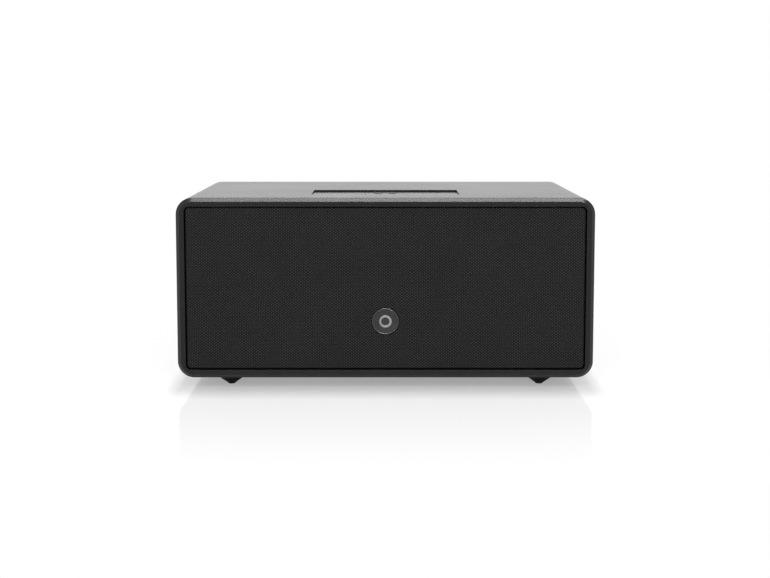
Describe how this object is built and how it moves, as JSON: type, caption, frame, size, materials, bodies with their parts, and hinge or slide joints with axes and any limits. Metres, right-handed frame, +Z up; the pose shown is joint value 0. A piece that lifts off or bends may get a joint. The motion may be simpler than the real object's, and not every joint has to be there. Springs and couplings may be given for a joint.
{
  "type": "wireless speaker",
  "caption": "Low wide table speaker: rounded sleeve cabinet, inset cloth grille with round badge, recessed top keys, rear port and sockets, cone feet.",
  "frame": {"origin": "on the ground under the middle of the cabinet", "axes": "+Z up, front with the grille towards -Y, +X to the right seen from the front"},
  "size_m": [0.416, 0.22, 0.193],
  "materials": {
    "cabinet_black": "satin black lacquer on fibreboard",
    "board_black": "matt black fibreboard",
    "moulded_black": "fine grained moulding",
    "grille_cloth": "plain woven acoustic cloth",
    "rubber_black": "moulded rubber",
    "badge_metal": "turned, dark anodised",
    "inlay_metal": "satin, plain",
    "wadding": "polyester wadding",
    "basket_steel": "black powder coat",
    "cone_paper": "pressed paper pulp",
    "coil_copper": "lacquered wire on a thin former",
    "spider_cloth": "resin dipped corrugated cloth",
    "plated_steel": "zinc plated",
    "ferrite": "ground ferrite",
    "dome_silk": "coated fabric dome",
    "screw_black": "blackened steel",
    "control_satin": "fine bead blasted, dark",
    "key_black": "satin moulding",
    "board_green": "solder mask",
    "switch_body": "moulded",
    "plate_black": "black powder coat",
    "foam_grey": "closed cell foam",
    "port_black": "moulded",
    "socket_black": "moulded",
    "socket_metal": "nickel plated",
    "sink_metal": "extruded, clear anodised",
    "lead_black": "sheathed wire",
    "insert_brass": "threaded insert",
    "foot_black": "moulded cone"
  },
  "bodies": {
    "cabinet": {"cabinet_shell": "cabinet_black", "front_baffle": "board_black", "rear_board": "board_black", "grille_cups": "rubber_black", "damping_pads": "wadding", "driver_screws": "screw_black", "control_plate": "control_satin", "control_board": "board_green", "key_switches": "switch_body", "amplifier_plate": "plate_black", "plate_gasket": "foam_grey", "plate_screws": "screw_black", "reflex_port": "port_black", "mains_inlet": "socket_black", "network_socket": "socket_metal", "sub_output_socket": "socket_metal", "aux_socket": "socket_black", "amplifier_board": "board_green", "heat_sink": "sink_metal", "power_supply_board": "board_green", "wireless_module": "board_green", "wiring_loom": "lead_black", "foot_inserts": "insert_brass", "foot_front_left": "foot_black", "foot_front_right": "foot_black", "foot_rear_left": "foot_black", "foot_rear_right": "foot_black", "woofer_basket_left": "basket_steel", "woofer_surround_left": "rubber_black", "woofer_spider_left": "spider_cloth", "woofer_pole_plates_left": "plated_steel", "woofer_magnet_left": "ferrite", "tweeter_faceplate_left": "moulded_black", "tweeter_motor_left": "plated_steel", "woofer_basket_right": "basket_steel", "woofer_surround_right": "rubber_black", "woofer_spider_right": "spider_cloth", "woofer_pole_plates_right": "plated_steel", "woofer_magnet_right": "ferrite", "tweeter_faceplate_right": "moulded_black", "tweeter_motor_right": "plated_steel"},
    "grille": {"grille_frame": "moulded_black", "grille_cloth": "grille_cloth", "badge_plate": "badge_metal", "badge_inlay": "inlay_metal"},
    "volume_down_key": {"volume_down_key": "key_black"},
    "preset_one_key": {"preset_one_key": "key_black"},
    "preset_two_key": {"preset_two_key": "key_black"},
    "volume_up_key": {"volume_up_key": "key_black"},
    "source_key": {"source_key": "key_black"},
    "play_key": {"play_key": "key_black"},
    "pairing_button": {"pairing_button": "key_black"},
    "woofer_cone_left": {"woofer_cone_left": "cone_paper", "woofer_dust_cap_left": "cone_paper", "woofer_voice_coil_left": "coil_copper"},
    "tweeter_dome_left": {"tweeter_dome_left": "dome_silk"},
    "woofer_cone_right": {"woofer_cone_right": "cone_paper", "woofer_dust_cap_right": "cone_paper", "woofer_voice_coil_right": "coil_copper"},
    "tweeter_dome_right": {"tweeter_dome_right": "dome_silk"}
  },
  "joints": [
    {"name": "grille_pull", "type": "slide", "parent": "cabinet", "child": "grille", "axis": [0, -1, 0], "range_m": [0, 0.03]},
    {"name": "volume_down_key_press", "type": "slide", "parent": "cabinet", "child": "volume_down_key", "axis": [0, 0, -1], "range_m": [0, 0.0005], "stiffness_N_per_m": 2000},
    {"name": "preset_one_key_press", "type": "slide", "parent": "cabinet", "child": "preset_one_key", "axis": [0, 0, -1], "range_m": [0, 0.0005], "stiffness_N_per_m": 2000},
    {"name": "preset_two_key_press", "type": "slide", "parent": "cabinet", "child": "preset_two_key", "axis": [0, 0, -1], "range_m": [0, 0.0005], "stiffness_N_per_m": 2000},
    {"name": "volume_up_key_press", "type": "slide", "parent": "cabinet", "child": "volume_up_key", "axis": [0, 0, -1], "range_m": [0, 0.0005], "stiffness_N_per_m": 2000},
    {"name": "source_key_press", "type": "slide", "parent": "cabinet", "child": "source_key", "axis": [0, 0, -1], "range_m": [0, 0.0005], "stiffness_N_per_m": 2000},
    {"name": "play_key_press", "type": "slide", "parent": "cabinet", "child": "play_key", "axis": [0, 0, -1], "range_m": [0, 0.0005], "stiffness_N_per_m": 2000},
    {"name": "pairing_button_press", "type": "slide", "parent": "cabinet", "child": "pairing_button", "axis": [0, -1, 0], "range_m": [0, 0.0005], "stiffness_N_per_m": 2000},
    {"name": "woofer_travel_left", "type": "slide", "parent": "cabinet", "child": "woofer_cone_left", "axis": [0, -1, 0], "range_m": [-0.003, 0.003], "stiffness_N_per_m": 1500, "deforming": ["woofer_surround_left", "woofer_spider_left"]},
    {"name": "woofer_travel_right", "type": "slide", "parent": "cabinet", "child": "woofer_cone_right", "axis": [0, -1, 0], "range_m": [-0.003, 0.003], "stiffness_N_per_m": 1500, "deforming": ["woofer_surround_right", "woofer_spider_right"]},
    {"name": "tweeter_travel_left", "type": "slide", "parent": "cabinet", "child": "tweeter_dome_left", "axis": [0, -1, 0], "range_m": [-0.00025, 0.00025], "stiffness_N_per_m": 2000},
    {"name": "tweeter_travel_right", "type": "slide", "parent": "cabinet", "child": "tweeter_dome_right", "axis": [0, -1, 0], "range_m": [-0.00025, 0.00025], "stiffness_N_per_m": 2000}
  ]
}
